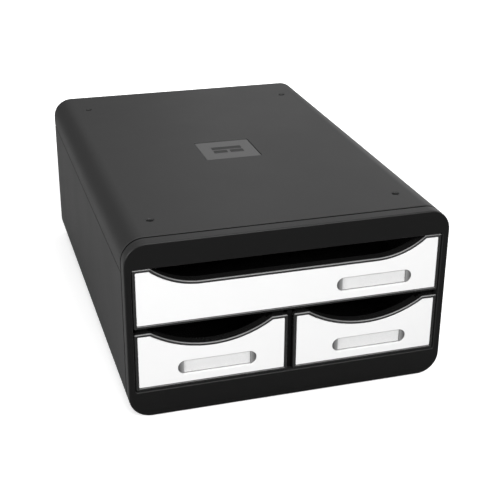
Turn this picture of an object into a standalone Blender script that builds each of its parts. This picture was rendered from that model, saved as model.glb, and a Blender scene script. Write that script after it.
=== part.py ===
"""A desktop drawer unit: one wide drawer above two half-width drawers in a moulded casing.

Metres, +Z up. The front faces -Y. The origin is on the floor, under the middle of the unit.
"""

import math

import bmesh
import bpy

MM = 0.001
GAP = 0.3 * MM
ARC_STEPS = 8
SINK = 0.6 * MM

# Casing
WIDTH = 250 * MM
DEPTH = 362 * MM
HEIGHT = 142 * MM
CORNER = 17 * MM
WALL = 2.5 * MM
STAND_OFF = 1.2 * MM
SEAM_Z = 116.2 * MM
TONGUE = 1.5 * MM
TONGUE_RISE = 6 * MM
FRONT_Y = -DEPTH / 2
BACK_Y = DEPTH / 2

# Front frame
FRAME_DEPTH = 12 * MM
FACE_THICK = 3 * MM
FACE_ROUND = 1.3 * MM
OPENING_HALF = 119.9 * MM
OPENING_Z = (22.6 * MM, 122.4 * MM)
OPENING_CORNER = 1.5 * MM
LIP_SIDE = 3 * MM
LIP_RAIL = 2 * MM

# Drawer fronts
RECESS = 1.0 * MM
FRONT_HEIGHT = 47.3 * MM
FRONT_THICK = 4.6 * MM
RIM = 2.3 * MM
PANEL_THICK = 2.0 * MM
PANEL_DEPTH = 2.6 * MM
LOWER_FRONT_Z = 23.1 * MM
UPPER_FRONT_Z = 74.6 * MM
UPPER_FRONT_HALF = 119.4 * MM
LOWER_FRONT_HALF = 58.6 * MM
LOWER_FRONT_X = 60.8 * MM
SCOOP_DEPTH = 14 * MM
UPPER_SCOOP = (68 * MM, 58.7 * MM)
LOWER_SCOOP = (0.0, 82.6 * MM)
LIP_DEEP = 4.4 * MM
LIP_THICK = 1.8 * MM
LIP_DROP = 0.3 * MM
LIP_SHORTER = 3

# Trays
TUB_INSET = 2.4 * MM
TUB_RISE = 0.5 * MM
TUB_DEPTH = 353 * MM
TUB_HEIGHT = 38 * MM
TUB_WALL = 1.8 * MM
TUB_CORNER = 5 * MM

# Label holder
PILL_HALF = 30.3 * MM
PILL_RADIUS = 5.65 * MM
PILL_Z = 14.9 * MM
LOWER_PILL_SHIFT = 3.8 * MM
UPPER_PILL_X = 66.2 * MM
CARD_HALF = 25.7 * MM
CARD_THICK = 0.3 * MM
WINDOW_THICK = 1.0 * MM

# Decks, divider and drawer stops
DECK_THICK = 2.4 * MM
DECK_BELOW_TUB = 0.4 * MM
RIB_FROM_TUB = 0.6 * MM
RIB_THICK = 1.5 * MM
RIB_HEIGHT = 5 * MM
LEDGE = 3 * MM
LEDGE_THICK = 2.2 * MM
DIVIDER_HALF = 1.2 * MM
DIVIDER_PAD_HALF = 1.9 * MM
DIVIDER_PAD_DEPTH = 4 * MM
DIVIDER_FLANGE_HALF = 4 * MM
TRAVEL = 250 * MM
LUG_THICK = 3 * MM
LUG_WIDE = 8.5 * MM
LUG_ABOVE_TUB = 2 * MM
LUG_CLEAR = 0.5 * MM
CLIP_LENGTH = 12 * MM
CLIP_LEG = 1.2 * MM
CLIP_DROP = 8 * MM
CLIP_RISE = 7.5 * MM

# Rear panel, badge, sockets and feet
PANEL_SET_IN = 0.6 * MM
REBATE = 0.7 * MM
REAR_THICK = 2.8 * MM
BADGE_HALF = (23.8 * MM, 22 * MM)
BADGE_Y = -5 * MM
BADGE_POCKET = 1.5 * MM
BADGE_THICK = 0.8 * MM
MARK_RISE = 0.3 * MM
MARK_HALF = 13 * MM
MARK_BAR = 6 * MM
MARK_GAP = 2.4 * MM
SOCKET_X = 97 * MM
SOCKET_Y = 140 * MM
SOCKET_RADIUS = 2.6 * MM
SOCKET_FLARE = 3.1 * MM
FOOT_RADIUS = 7 * MM
STEM_RADIUS = 2.5 * MM
FOOT_TAPER = 0.4 * MM
FOOT_HEAD = 4 * MM
FOOT_HEAD_THICK = 1.7 * MM
TURNED_STEPS = 20


def clear_scene():
    for obj in list(bpy.data.objects):
        bpy.data.objects.remove(obj, do_unlink=True)


def finish(name, colour, roughness):
    found = bpy.data.materials.new(name)
    found.use_nodes = True
    shader = found.node_tree.nodes["Principled BSDF"]
    shader.inputs["Base Color"].default_value = (*colour, 1.0)
    shader.inputs["Roughness"].default_value = roughness
    shader.inputs["Metallic"].default_value = 0.0
    found.diffuse_color = (*colour, 1.0)
    return found


def add_object(name, shape, material=None, parent=None):
    """Turns a bmesh into an object. One with no material is a helper that no node is made from."""
    bmesh.ops.recalc_face_normals(shape, faces=shape.faces)
    mesh = bpy.data.meshes.new(name)
    shape.to_mesh(mesh)
    shape.free()
    obj = bpy.data.objects.new(name, mesh)
    bpy.context.scene.collection.objects.link(obj)
    obj.parent = parent
    if material:
        mesh.materials.append(material)
    else:
        obj.hide_render = True
        obj.display_type = "WIRE"
    return obj


def loft(sections):
    """Closed solid through outlines of (x, z) points that stand at rising values of y."""
    shape = bmesh.new()
    rings = [[shape.verts.new((x, y, z)) for x, z in outline] for y, outline in sections]
    count = len(rings[0])
    for near, far in zip(rings, rings[1:]):
        for i in range(count):
            after = (i + 1) % count
            shape.faces.new((near[i], near[after], far[after], far[i]))
    shape.faces.new(rings[0])
    shape.faces.new(rings[-1])
    return shape


def extrude_y(outline, y0, y1):
    return loft([(y0, outline), (y1, outline)])


def extrude_z(outline, z0, z1):
    """Closed solid over an outline of (x, y) points."""
    shape = bmesh.new()
    low = [shape.verts.new((x, y, z0)) for x, y in outline]
    high = [shape.verts.new((x, y, z1)) for x, y in outline]
    for i in range(len(outline)):
        after = (i + 1) % len(outline)
        shape.faces.new((low[i], low[after], high[after], high[i]))
    shape.faces.new(low)
    shape.faces.new(high)
    return shape


def block(x, y, z):
    """Box between three pairs of limits."""
    return extrude_z([(x[0], y[0]), (x[1], y[0]), (x[1], y[1]), (x[0], y[1])], z[0], z[1])


def turned(profile, centre_x, centre_y):
    """Solid of revolution round an upright axis, from (radius, z) points that start and end on it."""
    shape = bmesh.new()
    points = [shape.verts.new((centre_x + radius, centre_y, z)) for radius, z in profile]
    edges = [shape.edges.new(pair) for pair in zip(points, points[1:])]
    bmesh.ops.spin(
        shape,
        geom=points + edges,
        cent=(centre_x, centre_y, 0),
        axis=(0, 0, 1),
        angle=math.tau,
        steps=TURNED_STEPS,
        use_merge=True,
    )
    bmesh.ops.remove_doubles(shape, verts=shape.verts, dist=0.01 * MM)
    return shape


def arc(cx, cz, radius, start, end, steps=ARC_STEPS):
    """Points on a circle, from one angle in degrees to another."""
    found = []
    for i in range(steps + 1):
        angle = math.radians(start + (end - start) * i / steps)
        found.append((cx + radius * math.cos(angle), cz + radius * math.sin(angle)))
    return found


def rounded_box(half, low, high, radius):
    """Outline of a rectangle with round corners, centred on x = 0."""
    points = arc(half - radius, low + radius, radius, -90, 0)
    points += arc(half - radius, high - radius, radius, 0, 90)
    points += arc(radius - half, high - radius, radius, 90, 180)
    points += arc(radius - half, low + radius, radius, 180, 270)
    return points


def casing_outline(inset):
    return rounded_box(WIDTH / 2 - inset, STAND_OFF + inset, HEIGHT - inset, CORNER - inset)


def combine(target, other, operation):
    modifier = target.modifiers.new(operation.title(), "BOOLEAN")
    modifier.operation = operation
    modifier.solver = "EXACT"
    modifier.object = other


def cut(target, shape):
    combine(target, add_object(target.name + "_cutter", shape, parent=target.parent), "DIFFERENCE")


def join(target, shape):
    combine(target, add_object(target.name + "_addition", shape, parent=target.parent), "UNION")


def mirrored(points):
    """An open outline on the +X side, followed by its mirror image on the -X side."""
    return points + [(-x, z) for x, z in reversed(points)]


def deck_top(front_z):
    return front_z + TUB_RISE - DECK_BELOW_TUB


def make_casing_body(plastic):
    """Floor, side walls, deck ledges, middle rib and the tongues that guide the top cover."""
    outer = WIDTH / 2
    inner = outer - WALL
    tongue = inner - GAP - TONGUE
    floor = STAND_OFF + WALL
    points = [(DIVIDER_HALF, deck_top(LOWER_FRONT_Z) - DECK_THICK - GAP), (DIVIDER_HALF, floor)]
    points += arc(outer - CORNER, STAND_OFF + CORNER, CORNER - WALL, -90, 0)
    for front_z in (LOWER_FRONT_Z, UPPER_FRONT_Z):
        ledge_top = deck_top(front_z) - DECK_THICK - GAP
        points += [(inner, ledge_top - LEDGE_THICK), (inner - LEDGE, ledge_top - LEDGE_THICK)]
        points += [(inner - LEDGE, ledge_top), (inner, ledge_top)]
    top = SEAM_Z + TONGUE_RISE
    points += [(inner, SEAM_Z - TONGUE_RISE), (tongue, SEAM_Z - TONGUE_RISE + TONGUE), (tongue, top)]
    points += [(inner - GAP, top), (inner - GAP, SEAM_Z), (outer, SEAM_Z)]
    points += arc(outer - CORNER, STAND_OFF + CORNER, CORNER, 0, -90)
    shape = extrude_y(mirrored(points), FRONT_Y + FRAME_DEPTH + GAP, BACK_Y)
    body = add_object("casing_body", shape, plastic)
    cut(body, rear_rebate())
    radius = STEM_RADIUS + GAP
    hole = [(0, 0), (radius, 0), (radius, floor + WALL), (0, floor + WALL)]
    for x in (-SOCKET_X, SOCKET_X):
        for y in (-SOCKET_Y, SOCKET_Y):
            cut(body, turned(hole, x, y))


def rear_pocket():
    """How far in from the back edge the decks and ribs stop."""
    return PANEL_SET_IN + REAR_THICK + GAP


def rear_rebate():
    """The shallow seat that the rear panel drops into."""
    return extrude_y(casing_outline(WALL - REBATE), BACK_Y - rear_pocket(), BACK_Y + WALL)


def make_top_cover(plastic):
    outer = WIDTH / 2
    points = [(outer - WALL, SEAM_Z + GAP), (outer, SEAM_Z + GAP)]
    points += arc(outer - CORNER, HEIGHT - CORNER, CORNER, 0, 90)
    inner = arc(CORNER - outer, HEIGHT - CORNER, CORNER - WALL, 180, 90)
    inner += arc(outer - CORNER, HEIGHT - CORNER, CORNER - WALL, 90, 0)
    shape = extrude_y(mirrored(points) + inner, FRONT_Y + FRAME_DEPTH + GAP, BACK_Y)
    cover = add_object("top_cover", shape, plastic)
    cut(cover, rear_rebate())
    pocket_x, pocket_y = (size + GAP for size in BADGE_HALF)
    limits_y = (BADGE_Y - pocket_y, BADGE_Y + pocket_y)
    cut(cover, block((-pocket_x, pocket_x), limits_y, (HEIGHT - BADGE_POCKET, HEIGHT + WALL)))
    flare_low = HEIGHT - (SOCKET_FLARE - SOCKET_RADIUS)
    profile = [(0, HEIGHT - 2 * WALL), (SOCKET_RADIUS, HEIGHT - 2 * WALL), (SOCKET_RADIUS, flare_low)]
    profile += [(SOCKET_FLARE, HEIGHT), (SOCKET_FLARE, HEIGHT + WALL), (0, HEIGHT + WALL)]
    for x in (-SOCKET_X, SOCKET_X):
        for y in (-SOCKET_Y, SOCKET_Y):
            cut(cover, turned(profile, x, y))


def make_front_frame(plastic):
    """Bezel ring: a face with a rounded outer edge, a skirt, and a lip round the opening."""
    quarter = arc(FACE_ROUND, FACE_ROUND, FACE_ROUND, 270, 180, 4)
    sections = [(FRONT_Y + inset, casing_outline(back)) for back, inset in quarter]
    sections.append((FRONT_Y + FRAME_DEPTH, casing_outline(0)))
    frame = add_object("front_frame", loft(sections), plastic)
    back = FRONT_Y + FRAME_DEPTH
    cut(frame, extrude_y(casing_outline(WALL), FRONT_Y + FACE_THICK, back + WALL))
    low, high = OPENING_Z
    side = OPENING_HALF + LIP_SIDE
    lip_y = (FRONT_Y + FACE_THICK - SINK, back)
    join(frame, block((-side, side), lip_y, (low - LIP_RAIL, high + LIP_RAIL)))
    opening = rounded_box(OPENING_HALF, low, high, OPENING_CORNER)
    cut(frame, extrude_y(opening, FRONT_Y - WALL, back + WALL))
    for x in lug_places(0, UPPER_FRONT_HALF - TUB_INSET):
        join(frame, lug(x, UPPER_FRONT_Z, high + SINK))


def behind_fronts():
    """Where fixed pieces may start behind the closed drawer fronts."""
    return FRONT_Y + RECESS + FRONT_THICK + LUG_CLEAR


def lug_places(centre, tub_half):
    """Limits in x of the two stop lugs above a tray's side walls."""
    left = centre - tub_half
    right = centre + tub_half
    return [(left, left + LUG_WIDE), (right - LUG_WIDE, right)]


def lug(x, front_z, top):
    bottom = front_z + TUB_RISE + TUB_HEIGHT + LUG_ABOVE_TUB
    near = behind_fronts()
    return block(x, (near, near + LUG_THICK), (bottom, top))


def make_deck(name, front_z, plastic, tongue):
    """A drawer's running surface, with a guide rib along each side."""
    top = deck_top(front_z)
    half = WIDTH / 2 - WALL - GAP
    near = FRONT_Y + FRAME_DEPTH + 2 * GAP
    far = BACK_Y - rear_pocket() - GAP
    outline = [(half, near), (half, far), (-half, far), (-half, near)]
    if tongue:
        narrow = OPENING_HALF - GAP
        front = behind_fronts()
        outline += [(-narrow, near), (-narrow, front), (narrow, front), (narrow, near)]
    deck = add_object(name, extrude_z(outline, top - DECK_THICK, top), plastic)
    rib_inner = UPPER_FRONT_HALF - TUB_INSET + RIB_FROM_TUB
    for side in (-1, 1):
        rib_x = sorted((side * rib_inner, side * (rib_inner + RIB_THICK)))
        join(deck, block(rib_x, (near + SINK, far - SINK), (top - SINK, top + RIB_HEIGHT)))
    return deck


def make_divider(plastic):
    """Upright wall between the lower drawers: a base flange, a thin web and a wider front edge."""
    low = deck_top(LOWER_FRONT_Z) + GAP
    high = deck_top(UPPER_FRONT_Z) - DECK_THICK - GAP
    near = FRONT_Y + RECESS + FRONT_THICK - SINK
    far = BACK_Y - rear_pocket() - GAP
    web = block((-DIVIDER_HALF, DIVIDER_HALF), (near + SINK, far), (low, high))
    divider = add_object("lower_divider", web, plastic)
    pad_x = (-DIVIDER_PAD_HALF, DIVIDER_PAD_HALF)
    join(divider, block(pad_x, (near, near + DIVIDER_PAD_DEPTH), (low, high)))
    flange_x = (-DIVIDER_FLANGE_HALF, DIVIDER_FLANGE_HALF)
    flange_y = (FRONT_Y + FRAME_DEPTH + GAP, far)
    join(divider, block(flange_x, flange_y, (low, low + RIB_HEIGHT)))


def make_rear_panel(plastic):
    far = BACK_Y - PANEL_SET_IN
    shape = extrude_y(casing_outline(WALL - REBATE + GAP), far - REAR_THICK, far)
    add_object("rear_panel", shape, plastic)


def make_badge(plastic):
    """Plate in the top's pocket, with a raised mark of one wide bar above two half bars."""
    low = HEIGHT - BADGE_POCKET + GAP
    high = low + BADGE_THICK
    half_x, half_y = BADGE_HALF
    limits_y = (BADGE_Y - half_y, BADGE_Y + half_y)
    badge = add_object("badge_plate", block((-half_x, half_x), limits_y, (low, high)), plastic)
    mark_z = (high - BADGE_THICK / 2, high + MARK_RISE)
    upper_y = (BADGE_Y + MARK_GAP / 2, BADGE_Y + MARK_GAP / 2 + MARK_BAR)
    lower_y = (BADGE_Y - MARK_GAP / 2 - MARK_BAR, BADGE_Y - MARK_GAP / 2)
    join(badge, block((-MARK_HALF, MARK_HALF), upper_y, mark_z))
    join(badge, block((-MARK_HALF, -MARK_GAP / 2), lower_y, mark_z))
    join(badge, block((MARK_GAP / 2, MARK_HALF), lower_y, mark_z))


def make_feet(rubber):
    """Push-in feet: a pad under the floor, a stem through it and a head above it."""
    floor = STAND_OFF + WALL
    pad_top = STAND_OFF - GAP
    head_top = floor + GAP + FOOT_HEAD_THICK
    profile = [(0, 0), (FOOT_RADIUS - FOOT_TAPER, 0), (FOOT_RADIUS, pad_top), (STEM_RADIUS, pad_top)]
    profile += [(STEM_RADIUS, floor + GAP), (FOOT_HEAD, floor + GAP), (STEM_RADIUS, head_top), (0, head_top)]
    for depth_name, y in (("front", -SOCKET_Y), ("rear", SOCKET_Y)):
        for side_name, x in (("left", -SOCKET_X), ("right", SOCKET_X)):
            add_object(f"{depth_name}_{side_name}_foot", turned(profile, x, y), rubber)


def front_outline(half, scoop, inset):
    """Outline of a drawer front with its finger scoop, drawn in by inset along every edge.

    scoop gives the half length of its flat bottom and the radius of the arcs beside it.
    """
    flat_half, radius = scoop
    radius += inset
    top = FRONT_HEIGHT - inset
    bottom = FRONT_HEIGHT - SCOOP_DEPTH - inset
    reach = math.degrees(math.acos(1 - SCOOP_DEPTH / radius))
    right = arc(flat_half, bottom + radius, radius, -90 + reach, -90, 2 * ARC_STEPS)
    points = [(inset - half, inset), (half - inset, inset), (half - inset, top)] + right
    left = [(-x, z) for x, z in reversed(right)]
    points += left if flat_half else left[1:]
    return points + [(inset - half, top)]


def lip_outline(scoop):
    """A band just under the scoop's edge. It ends LIP_SHORTER degrees of arc before the corners."""
    flat_half, radius = scoop
    bottom = FRONT_HEIGHT - SCOOP_DEPTH
    reach = math.degrees(math.acos(1 - SCOOP_DEPTH / radius)) - LIP_SHORTER
    edges = []
    for drop in (LIP_DROP, LIP_DROP + LIP_THICK):
        right = arc(flat_half, bottom + radius, radius + drop, -90 + reach, -90, 2 * ARC_STEPS)
        left = [(-x, z) for x, z in reversed(right)]
        edges.append(right + (left if flat_half else left[1:]))
    return edges[0] + list(reversed(edges[1]))


def tub_outline(half, near, far, radius):
    """Plan of a tray: square at the front, round at the two back corners."""
    points = [(-half, near), (half, near)]
    points += arc(half - radius, far - radius, radius, 0, 90, 4)
    points += arc(radius - half, far - radius, radius, 90, 180, 4)
    return points


def make_tub(name, half, parent):
    """Floor, side walls and back wall of a tray, open at the front. A helper that the tray takes in."""
    plan = tub_outline(half, FRONT_THICK - SINK, TUB_DEPTH, TUB_CORNER)
    tub = add_object(name, extrude_z(plan, TUB_RISE, TUB_RISE + TUB_HEIGHT), parent=parent)
    hollow = tub_outline(half - TUB_WALL, 0, TUB_DEPTH - TUB_WALL, TUB_CORNER - TUB_WALL)
    cut(tub, extrude_z(hollow, TUB_RISE + TUB_WALL, TUB_RISE + TUB_HEIGHT + WALL))
    return tub


def make_tray(name, half, scoop, plastic, parent):
    """Tray in one piece with its front: rim, pocket for the panel, scoop lip and open tub."""
    plate = extrude_y(front_outline(half, scoop, 0), 0, FRONT_THICK)
    tray = add_object(name, plate, plastic, parent)
    combine(tray, make_tub(name + "_tub", half - TUB_INSET, parent), "UNION")
    join(tray, extrude_y(lip_outline(scoop), FRONT_THICK - SINK, FRONT_THICK + LIP_DEEP))
    cut(tray, extrude_y(front_outline(half, scoop, RIM), -WALL, PANEL_DEPTH))


def pill_outline(centre, half, radius):
    points = arc(centre + half - radius, PILL_Z, radius, -90, 90, 12)
    return points + arc(centre - half + radius, PILL_Z, radius, 90, 270, 12)


def make_front_panel(name, half, scoop, pill_x, plastic, parent):
    near = PANEL_DEPTH - GAP - PANEL_THICK
    shape = extrude_y(front_outline(half, scoop, RIM + GAP), near, near + PANEL_THICK)
    panel = add_object(name, shape, plastic, parent)
    cut(panel, extrude_y(pill_outline(pill_x, PILL_HALF, PILL_RADIUS), -WALL, PANEL_DEPTH + WALL))


def make_label(side, pill_x, paper, clear, parent):
    """Paper card against the pocket's floor, and the clear window that holds it in the panel's hole."""
    back = PANEL_DEPTH - GAP
    card_x = (pill_x - CARD_HALF, pill_x + CARD_HALF)
    card_z = (PILL_Z - PILL_RADIUS + 2 * GAP, PILL_Z + PILL_RADIUS - 2 * GAP)
    add_object(f"{side}_card", block(card_x, (back - CARD_THICK, back), card_z), paper, parent)
    window_back = back - CARD_THICK - GAP
    outline = pill_outline(pill_x, PILL_HALF - GAP, PILL_RADIUS - GAP)
    shape = extrude_y(outline, window_back - WINDOW_THICK, window_back)
    add_object(f"{side}_window", shape, clear, parent)


def make_stop_clips(side, tub_half, plastic, parent):
    """A clip over each side wall. Its raised block meets a lug when the drawer is fully out."""
    wall_top = TUB_RISE + TUB_HEIGHT
    near = FRONT_THICK + LUG_CLEAR + LUG_THICK + GAP + TRAVEL
    for edge_name, edge in (("left", -1), ("right", 1)):
        inside = tub_half - TUB_WALL - GAP
        outside = tub_half + GAP
        points = [(inside - CLIP_LEG, wall_top - CLIP_DROP), (inside, wall_top - CLIP_DROP)]
        points += [(inside, wall_top + GAP), (outside, wall_top + GAP)]
        points += [(outside, wall_top - CLIP_DROP), (outside + CLIP_LEG, wall_top - CLIP_DROP)]
        points += [(outside + CLIP_LEG, wall_top + CLIP_RISE), (inside - CLIP_LEG, wall_top + CLIP_RISE)]
        outline = [(edge * x, z) for x, z in points]
        shape = extrude_y(outline, near, near + CLIP_LENGTH)
        add_object(f"{side}_drawer_{edge_name}_stop", shape, plastic, parent)


def make_drawer(side, centre, front_z, half, scoop, pill_x, finishes):
    """One drawer on an empty at the middle of its front's lower edge, from which it slides along -Y."""
    slide = bpy.data.objects.new(f"{side}_drawer_slide", None)
    bpy.context.scene.collection.objects.link(slide)
    slide.location = (centre, FRONT_Y + RECESS, front_z)
    make_tray(f"{side}_tray", half, scoop, finishes["tray"], slide)
    make_front_panel(f"{side}_front", half, scoop, pill_x, finishes["front"], slide)
    make_label(side, pill_x, finishes["card"], finishes["window"], slide)
    make_stop_clips(side, half - TUB_INSET, finishes["stop"], slide)


def main():
    clear_scene()
    charcoal = finish("charcoal_shell", (0.062, 0.062, 0.064), 0.55)
    black = finish("black_frame", (0.014, 0.014, 0.015), 0.5)
    inner_black = finish("inner_black", (0.012, 0.012, 0.012), 0.7)
    badge_grey = finish("badge_grey", (0.17, 0.17, 0.172), 0.45)
    rubber = finish("foot_rubber", (0.03, 0.03, 0.03), 0.9)
    finishes = {
        "tray": finish("tray_grey", (0.026, 0.026, 0.028), 0.45),
        "front": finish("front_white", (0.9, 0.9, 0.9), 0.3),
        "card": finish("card_paper", (0.78, 0.78, 0.78), 0.9),
        "window": finish("clear_window", (0.7, 0.7, 0.7), 0.1),
        "stop": finish("stop_grey", (0.1, 0.1, 0.1), 0.5),
    }
    make_casing_body(charcoal)
    make_top_cover(charcoal)
    make_front_frame(black)
    make_deck("lower_shelf", LOWER_FRONT_Z, inner_black, tongue=False)
    middle = make_deck("middle_shelf", UPPER_FRONT_Z, inner_black, tongue=True)
    lug_top = deck_top(UPPER_FRONT_Z) - DECK_THICK + SINK
    for centre in (-LOWER_FRONT_X, LOWER_FRONT_X):
        for x in lug_places(centre, LOWER_FRONT_HALF - TUB_INSET):
            join(middle, lug(x, LOWER_FRONT_Z, lug_top))
    make_divider(inner_black)
    make_rear_panel(charcoal)
    make_badge(badge_grey)
    make_feet(rubber)
    make_drawer("upper", 0, UPPER_FRONT_Z, UPPER_FRONT_HALF, UPPER_SCOOP, UPPER_PILL_X, finishes)
    for side, centre in (("left", -LOWER_FRONT_X), ("right", LOWER_FRONT_X)):
        make_drawer(side, centre, LOWER_FRONT_Z, LOWER_FRONT_HALF, LOWER_SCOOP, LOWER_PILL_SHIFT, finishes)


main()
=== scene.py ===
# %% [markdown]
# # A desktop drawer unit
#
# This is a box for a desk, with one wide drawer above two narrow ones. The casing and the trays are moulded
# in dark plastic, and each drawer wears a glossy white front with a window for a paper label.
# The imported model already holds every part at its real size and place, with three sliding drawers. Here each
# part that shows gets its soft moulded edges and its finish. Nothing is moved: a new piece is built where
# the part that it stands for is.

# %% Load the frame
import math

import bmesh
import bpy
from mathutils import Matrix, Vector


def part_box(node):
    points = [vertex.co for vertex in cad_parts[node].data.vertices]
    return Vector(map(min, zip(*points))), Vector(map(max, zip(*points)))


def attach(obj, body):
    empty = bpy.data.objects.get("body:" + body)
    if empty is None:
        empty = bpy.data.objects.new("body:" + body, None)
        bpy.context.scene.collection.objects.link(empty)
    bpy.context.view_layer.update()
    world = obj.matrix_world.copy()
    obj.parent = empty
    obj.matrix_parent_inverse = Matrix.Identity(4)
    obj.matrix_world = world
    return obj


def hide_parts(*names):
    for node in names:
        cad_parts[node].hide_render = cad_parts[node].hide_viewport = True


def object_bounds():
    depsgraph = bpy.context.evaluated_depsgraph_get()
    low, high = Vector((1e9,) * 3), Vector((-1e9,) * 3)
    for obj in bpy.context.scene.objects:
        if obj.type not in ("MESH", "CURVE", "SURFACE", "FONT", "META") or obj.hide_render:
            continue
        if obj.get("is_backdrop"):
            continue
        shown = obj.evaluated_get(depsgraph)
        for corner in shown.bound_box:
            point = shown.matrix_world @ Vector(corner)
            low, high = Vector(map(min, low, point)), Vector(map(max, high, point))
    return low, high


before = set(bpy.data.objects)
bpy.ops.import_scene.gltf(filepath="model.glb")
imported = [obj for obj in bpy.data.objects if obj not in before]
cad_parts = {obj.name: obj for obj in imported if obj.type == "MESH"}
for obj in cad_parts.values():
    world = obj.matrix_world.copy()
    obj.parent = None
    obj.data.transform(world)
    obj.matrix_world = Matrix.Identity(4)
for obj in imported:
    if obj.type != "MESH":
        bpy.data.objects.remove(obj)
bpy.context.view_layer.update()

# %% [markdown]
# ## Sizes
#
# Most sizes come from the frame, so that they agree with it. The few that a box can't tell, such as a
# corner's radius or the shape of a finger scoop, are named here in metres.

# %% Sizes of the casing
MM = 0.001
GAP = 0.3 * MM
WALL = 2.5 * MM
CORNER = 17 * MM
REBATE = 0.7 * MM
frame_low, frame_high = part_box("front_frame")
cover_low, cover_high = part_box("top_cover")
shell_low, shell_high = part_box("casing_body")
half_width = frame_high.x
bottom = shell_low.z
top = cover_high.z
print("casing half width", round(half_width, 4), "from", round(bottom, 4), "to", round(top, 4))

# %% Sizes of the drawers
SCOOP_DEPTH = 14 * MM
WIDE_SCOOP = (68 * MM, 58.7 * MM)
NARROW_SCOOP = (0.0, 82.6 * MM)
FRONT_THICK = 4.6 * MM
RIM = 2.3 * MM
PANEL_DEPTH = 2.6 * MM
TUB_INSET = 2.4 * MM
TUB_RISE = 0.5 * MM
TUB_HEIGHT = 38 * MM
TUB_WALL = 1.8 * MM
TUB_CORNER = 5 * MM
drawers = {
    "upper": WIDE_SCOOP,
    "left": NARROW_SCOOP,
    "right": NARROW_SCOOP,
}
print("drawers", ", ".join(drawers))

# %% [markdown]
# ## Camera and light
#
# The camera stands a little to the left and looks down at the front, the left side and the top. A long lens
# from about a metre away keeps the box's edges nearly parallel, as in a catalogue picture.
# The studio is a pale floor under soft panels. Dark plastic shows what it mirrors, so the panels behind are
# weak and are placed for their reflections in the top and in its round right edge. The strong panel in front
# lights the white fronts, and the left and right ones light the side walls. One low panel lights the back. It
# is hidden from mirrored rays, because they would make it glitter along the far edge of the top.

# %% Camera
AZIMUTH = math.radians(-17.084)
ELEVATION = math.radians(24.579)
ROLL = math.radians(0.496)
DISTANCE = 957.4 * MM
LENS = 77.15
AIM = Vector((0, -1 * MM, 68.2 * MM))
AIM_RIGHT = 21.13 * MM
AIM_UP = -21.53 * MM

out = Vector((
    math.sin(AZIMUTH) * math.cos(ELEVATION),
    -math.cos(AZIMUTH) * math.cos(ELEVATION),
    math.sin(ELEVATION),
))
level = (-out).cross(Vector((0, 0, 1))).normalized()
upright = level.cross(-out)
right = math.cos(ROLL) * level + math.sin(ROLL) * upright
up = math.cos(ROLL) * upright - math.sin(ROLL) * level
camera = bpy.data.objects.new("camera", bpy.data.cameras.new("camera"))
bpy.context.scene.collection.objects.link(camera)
camera.data.lens = LENS
camera.data.sensor_width = 36
place = Matrix((right, up, out)).transposed().to_4x4()
place.translation = AIM + AIM_RIGHT * right + AIM_UP * up + DISTANCE * out
camera.matrix_world = place
bpy.context.scene.camera = camera
print("camera at", [round(v, 3) for v in camera.matrix_world.translation])

# %% Light panels


def light_panel(name, position, aim, width, height, watts):
    """A soft rectangular lamp that faces aim."""
    lamp = bpy.data.objects.new(name, bpy.data.lights.new(name, "AREA"))
    bpy.context.scene.collection.objects.link(lamp)
    lamp.data.shape = "RECTANGLE"
    lamp.data.size = width
    lamp.data.size_y = height
    lamp.data.energy = watts
    lamp.location = position
    lamp.rotation_euler = (Vector(aim) - Vector(position)).to_track_quat("-Z", "Y").to_euler()
    return lamp


TARGET = (0, 0, 80 * MM)
LOW_TARGET = (0, 0, 70 * MM)
# name, position, aim, width, height and watts
panels = [
    ("overhead_panel", (0, 0.1, 1.6), TARGET, 1.4, 1.4, 7),
    ("back_panel", (0.1, 1.6, 0.9), TARGET, 0.9, 0.7, 0.5),
    ("back_right_panel", (0.75, 1.5, 0.75), TARGET, 0.9, 0.7, 1.0),
    ("left_panel", (-1.4, 0, 0.6), TARGET, 0.7, 0.6, 3.2),
    ("right_panel", (1.4, 0.1, 0.7), TARGET, 0.8, 0.7, 5),
    ("front_left_panel", (-1.1, -0.9, 0.6), TARGET, 0.7, 0.6, 8.8),
    ("rear_fill_panel", (1.1, 1.3, 0.25), TARGET, 0.7, 0.4, 0.9),
    ("low_back_panel", (0.2, 1.4, 0.07), LOW_TARGET, 0.3, 0.1, 5),
    ("front_panel", (0.3, -1.5, 1.2), TARGET, 1.2, 0.8, 24),
]
lamps = {row[0]: light_panel(*row) for row in panels}
lamps["low_back_panel"].visible_glossy = False
print("light panels", len(lamps))

# %% Surroundings
# The camera sees a white backdrop. The plastic mirrors a greyer room, which keeps its blacks deep.
BACKDROP = 1.0
ROOM = 0.15

world = bpy.data.worlds.new("studio")
bpy.context.scene.world = world
world.use_nodes = True
sky = world.node_tree
sky.nodes.clear()
seen = sky.nodes.new("ShaderNodeLightPath")
white = sky.nodes.new("ShaderNodeBackground")
white.inputs["Strength"].default_value = BACKDROP
white.inputs["Color"].default_value = (1, 1, 1, 1)
grey = sky.nodes.new("ShaderNodeBackground")
grey.inputs["Strength"].default_value = ROOM
grey.inputs["Color"].default_value = (1, 1, 1, 1)
chosen = sky.nodes.new("ShaderNodeMixShader")
sky_out = sky.nodes.new("ShaderNodeOutputWorld")
sky.links.new(seen.outputs["Is Camera Ray"], chosen.inputs["Fac"])
sky.links.new(grey.outputs["Background"], chosen.inputs[1])
sky.links.new(white.outputs["Background"], chosen.inputs[2])
sky.links.new(chosen.outputs["Shader"], sky_out.inputs["Surface"])
bpy.context.scene.view_settings.view_transform = "Standard"
print("backdrop", BACKDROP, "room", ROOM)

# %% [markdown]
# ## Writing materials as sums
#
# A material in Blender is a network of nodes. Wiring each one by hand hides the idea behind it, so a small
# class wraps a node's output and lets Python's own signs add the Math nodes: `0.4 + 0.1 * noise` reads as
# what it does. Everything that isn't arithmetic goes through one method, `Recipe.node`.

# %% Values that can be added and multiplied


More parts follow.
